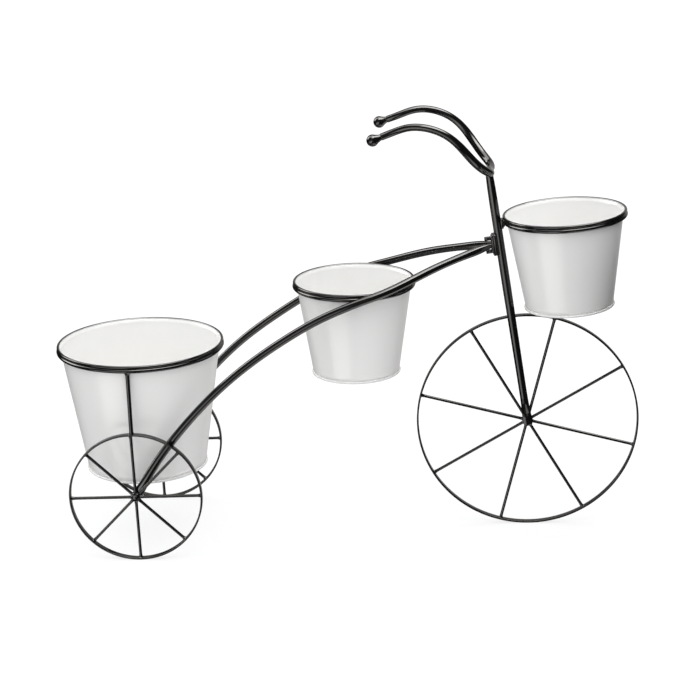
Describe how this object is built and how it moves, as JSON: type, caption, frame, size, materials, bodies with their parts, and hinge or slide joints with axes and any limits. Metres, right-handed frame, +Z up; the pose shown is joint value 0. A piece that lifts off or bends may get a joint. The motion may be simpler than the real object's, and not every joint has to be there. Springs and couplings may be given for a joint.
{
  "type": "bicycle plant stand",
  "caption": "Bicycle-shaped plant stand of welded black tube and wire with lift-out round white metal pots hung in wire rings.",
  "frame": {"origin": "on the floor under the middle of the stand", "axes": "+X to the front wheel, +Z up, -Y the side seen in the picture"},
  "size_m": [0.784, 0.2258, 0.5736],
  "materials": {
    "frame_black": "gloss black paint",
    "fastener_black": "gloss black coated hardware",
    "rim_black": "gloss black rolled rim, white on its inner half",
    "pot_white": "gloss white enamel"
  },
  "bodies": {
    "stand": {"clamp_nuts": "fastener_black", "clamp_studs": "fastener_black", "clamp_washers": "fastener_black", "frame_plate": "frame_black", "frame_tube_left": "frame_black", "frame_tube_right": "frame_black", "front_hub": "frame_black", "front_rim": "frame_black", "front_ring": "frame_black", "front_ring_screw": "fastener_black", "front_ring_tab": "frame_black", "front_spokes": "frame_black", "handlebar": "frame_black", "handlebar_balls": "frame_black", "middle_ring": "frame_black", "rear_axle": "frame_black", "rear_hub_left": "frame_black", "rear_hub_right": "frame_black", "rear_rim_left": "frame_black", "rear_rim_right": "frame_black", "rear_ring": "frame_black", "rear_spokes_left": "frame_black", "rear_spokes_right": "frame_black", "rear_strut_left": "frame_black", "rear_strut_right": "frame_black", "stem_plate": "frame_black", "stem_tube": "frame_black"},
    "pot_rear": {"pot_rear_floor": "pot_white", "pot_rear_foot": "pot_white", "pot_rear_rim": "rim_black", "pot_rear_wall": "pot_white"},
    "pot_middle": {"pot_middle_floor": "pot_white", "pot_middle_foot": "pot_white", "pot_middle_rim": "rim_black", "pot_middle_wall": "pot_white"},
    "pot_front": {"pot_front_floor": "pot_white", "pot_front_foot": "pot_white", "pot_front_rim": "rim_black", "pot_front_wall": "pot_white"}
  },
  "joints": [
    {"name": "pot_rear_lift", "type": "slide", "parent": "stand", "child": "pot_rear", "axis": [0, 0, 1], "range_m": [0, 0.19]},
    {"name": "pot_middle_lift", "type": "slide", "parent": "stand", "child": "pot_middle", "axis": [0, 0, 1], "range_m": [0, 0.14]},
    {"name": "pot_front_lift", "type": "slide", "parent": "stand", "child": "pot_front", "axis": [-0.0562, 0, 0.9984], "range_m": [0, 0.14]}
  ]
}
